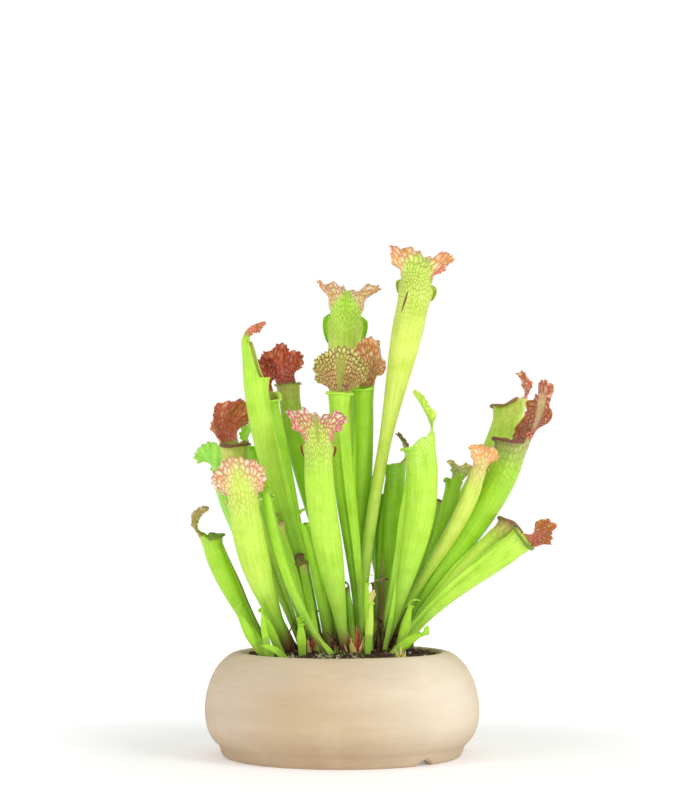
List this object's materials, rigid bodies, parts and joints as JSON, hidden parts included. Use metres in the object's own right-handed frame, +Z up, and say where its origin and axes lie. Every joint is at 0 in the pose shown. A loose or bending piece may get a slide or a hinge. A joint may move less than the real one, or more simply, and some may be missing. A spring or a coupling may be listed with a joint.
{
  "type": "potted pitcher plant",
  "caption": "Clump of tall hollow trumpet leaves with frilled, veined lids, growing in dark soil in a low bulging clay bowl.",
  "frame": {"origin": "middle of the whole object's underside, on the ground that the bowl stands on", "axes": "+Z up; -Y towards the front of the picture; +X towards the viewer's right"},
  "size_m": [0.2924, 0.2192, 0.4064],
  "materials": {
    "clay": "matte",
    "potting_soil": "matte",
    "fresh_leaf": "satin",
    "yellow_leaf": "satin",
    "veined_leaf": "satin",
    "withered_leaf": "matte",
    "dry_leaf": "matte",
    "bud_scale": "satin"
  },
  "bodies": {
    "root": {"clay_bowl": "clay", "potting_soil": "potting_soil", "pitcher_tallest": "yellow_leaf", "pitcher_wide_hooded": "fresh_leaf", "pitcher_domed": "veined_leaf", "pitcher_red_net": "veined_leaf", "pitcher_pink_front": "veined_leaf", "pitcher_yellow_left": "yellow_leaf", "pitcher_far_left": "fresh_leaf", "pitcher_red_left": "veined_leaf", "pitcher_green_leftmost": "fresh_leaf", "pitcher_green_hidden": "fresh_leaf", "pitcher_tall_left": "fresh_leaf", "pitcher_olive_mouthed": "fresh_leaf", "pitcher_dark_red": "veined_leaf", "pitcher_bright_right": "fresh_leaf", "pitcher_spotted": "fresh_leaf", "pitcher_veined_back": "veined_leaf", "pitcher_veined_front": "veined_leaf", "pitcher_orange": "yellow_leaf", "pitcher_grey_frilled": "fresh_leaf", "pitcher_leaning_back": "fresh_leaf", "pitcher_leaning_front": "veined_leaf", "pitcher_brown_edged": "fresh_leaf", "pitcher_dark_green": "fresh_leaf", "pitcher_small_upright": "fresh_leaf", "pitcher_slender": "fresh_leaf", "pitcher_yellow_short": "yellow_leaf", "pitcher_brown_mouthed": "fresh_leaf", "pitcher_hidden_red": "veined_leaf", "young_hooked_left": "fresh_leaf", "young_left": "fresh_leaf", "young_front_left": "fresh_leaf", "young_dark_headed": "withered_leaf", "young_bent_hood": "fresh_leaf", "young_front_bright": "yellow_leaf", "withered_pitcher": "withered_leaf", "young_right": "fresh_leaf", "young_low_right": "fresh_leaf", "blade_left": "fresh_leaf", "blade_low_left": "fresh_leaf", "blade_middle_left": "fresh_leaf", "blade_low_front": "fresh_leaf", "blade_green_tip": "fresh_leaf", "blade_right": "fresh_leaf", "blade_dry": "dry_leaf", "crown_bud_front": "bud_scale", "crown_bud_left": "bud_scale", "crown_bud_right": "bud_scale"}
  },
  "joints": []
}
